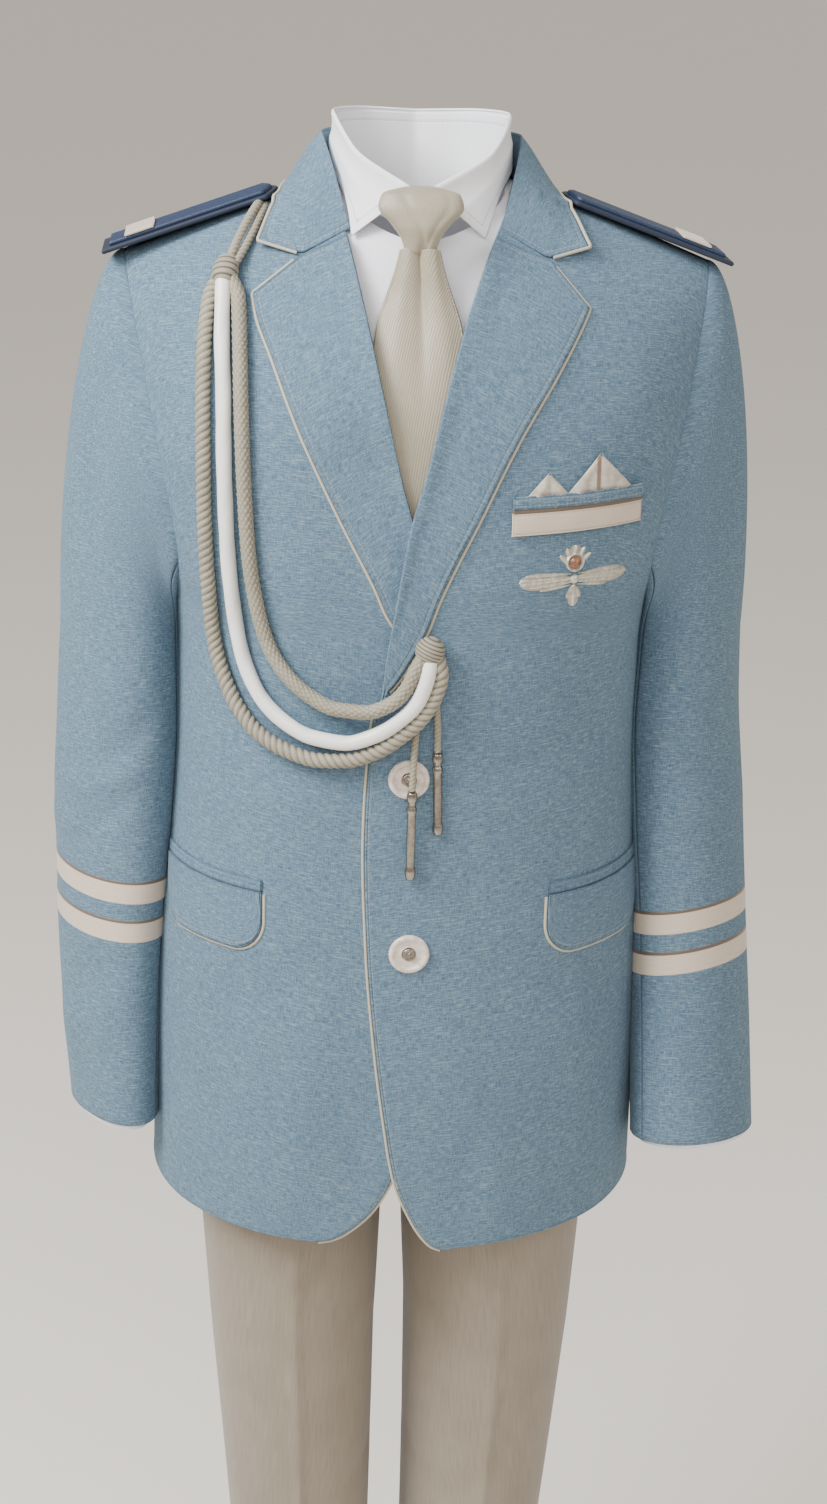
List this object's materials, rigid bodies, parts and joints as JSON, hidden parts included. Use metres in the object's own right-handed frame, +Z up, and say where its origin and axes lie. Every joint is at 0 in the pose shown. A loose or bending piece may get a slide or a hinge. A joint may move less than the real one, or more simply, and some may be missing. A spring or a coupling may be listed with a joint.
{
  "type": "child's admiral dress uniform",
  "caption": "Child's dress uniform in worn form: piped single-breasted jacket with epaulettes and a shoulder cord, white shirt, satin tie and straight trousers.",
  "frame": {"origin": "the middle between the shoulder seams at the level of the neck point, where the wearer's shoulders hold the uniform", "axes": "+X to the wearer's left, the front faces -Y, +Z up along the body"},
  "size_m": [0.4231, 0.2435, 1.1883],
  "materials": {
    "jacket_cloth": "matt slub weave",
    "piping": "matt",
    "band_ribbon": "ribbed ribbon",
    "brown_cord": "matt",
    "kerchief_cloth": "soft satin",
    "badge_metal": "pale plated, satin",
    "badge_stone": "polished",
    "button_pearl": "pearl",
    "board_cloth": "satin",
    "slide_ribbon": "matt",
    "beige_cord": "twisted cord",
    "white_cord": "satin cord",
    "pencil_metal": "polished",
    "shirt_cloth": "plain weave",
    "tie_satin": "satin",
    "trouser_cloth": "twill"
  },
  "bodies": {
    "root": {"jacket_front_left": "jacket_cloth", "jacket_front_right": "jacket_cloth", "jacket_back_left": "jacket_cloth", "jacket_back_right": "jacket_cloth", "top_sleeve_left": "jacket_cloth", "top_sleeve_right": "jacket_cloth", "under_sleeve_left": "jacket_cloth", "under_sleeve_right": "jacket_cloth", "jacket_collar": "jacket_cloth", "lapel_left": "jacket_cloth", "lapel_right": "jacket_cloth", "pocket_flap_left": "jacket_cloth", "pocket_flap_right": "jacket_cloth", "pocket_welt_left": "jacket_cloth", "pocket_welt_right": "jacket_cloth", "front_piping_left": "piping", "front_piping_right": "piping", "lapel_piping_left": "piping", "lapel_piping_right": "piping", "flap_piping_left": "piping", "flap_piping_right": "piping", "collar_piping": "piping", "sleeve_band_left_1": "band_ribbon", "sleeve_band_left_2": "band_ribbon", "sleeve_band_right_1": "band_ribbon", "sleeve_band_right_2": "band_ribbon", "breast_band": "band_ribbon", "breast_cord": "brown_cord", "kerchief": "kerchief_cloth", "wing_badge": "badge_metal", "badge_stone": "badge_stone", "button_upper": "button_pearl", "button_lower": "button_pearl", "epaulette_left": "board_cloth", "epaulette_right": "board_cloth", "epaulette_slide_left": "slide_ribbon", "epaulette_slide_right": "slide_ribbon", "aiguillette_outer": "beige_cord", "aiguillette_inner": "beige_cord", "aiguillette_tail_left": "beige_cord", "aiguillette_tail_right": "beige_cord", "aiguillette_knot": "beige_cord", "aiguillette_boss": "beige_cord", "aiguillette_middle": "white_cord", "aiguillette_pencil_left": "pencil_metal", "aiguillette_pencil_right": "pencil_metal", "shirt_front_left": "shirt_cloth", "shirt_front_right": "shirt_cloth", "shirt_back": "shirt_cloth", "shirt_sleeve_left": "shirt_cloth", "shirt_sleeve_right": "shirt_cloth", "shirt_collar_stand": "shirt_cloth", "shirt_collar_fall": "shirt_cloth", "tie_knot": "tie_satin", "tie_blade": "tie_satin", "trouser_front_left": "trouser_cloth", "trouser_front_right": "trouser_cloth", "trouser_back_left": "trouser_cloth", "trouser_back_right": "trouser_cloth", "trouser_waistband": "trouser_cloth"}
  },
  "joints": []
}
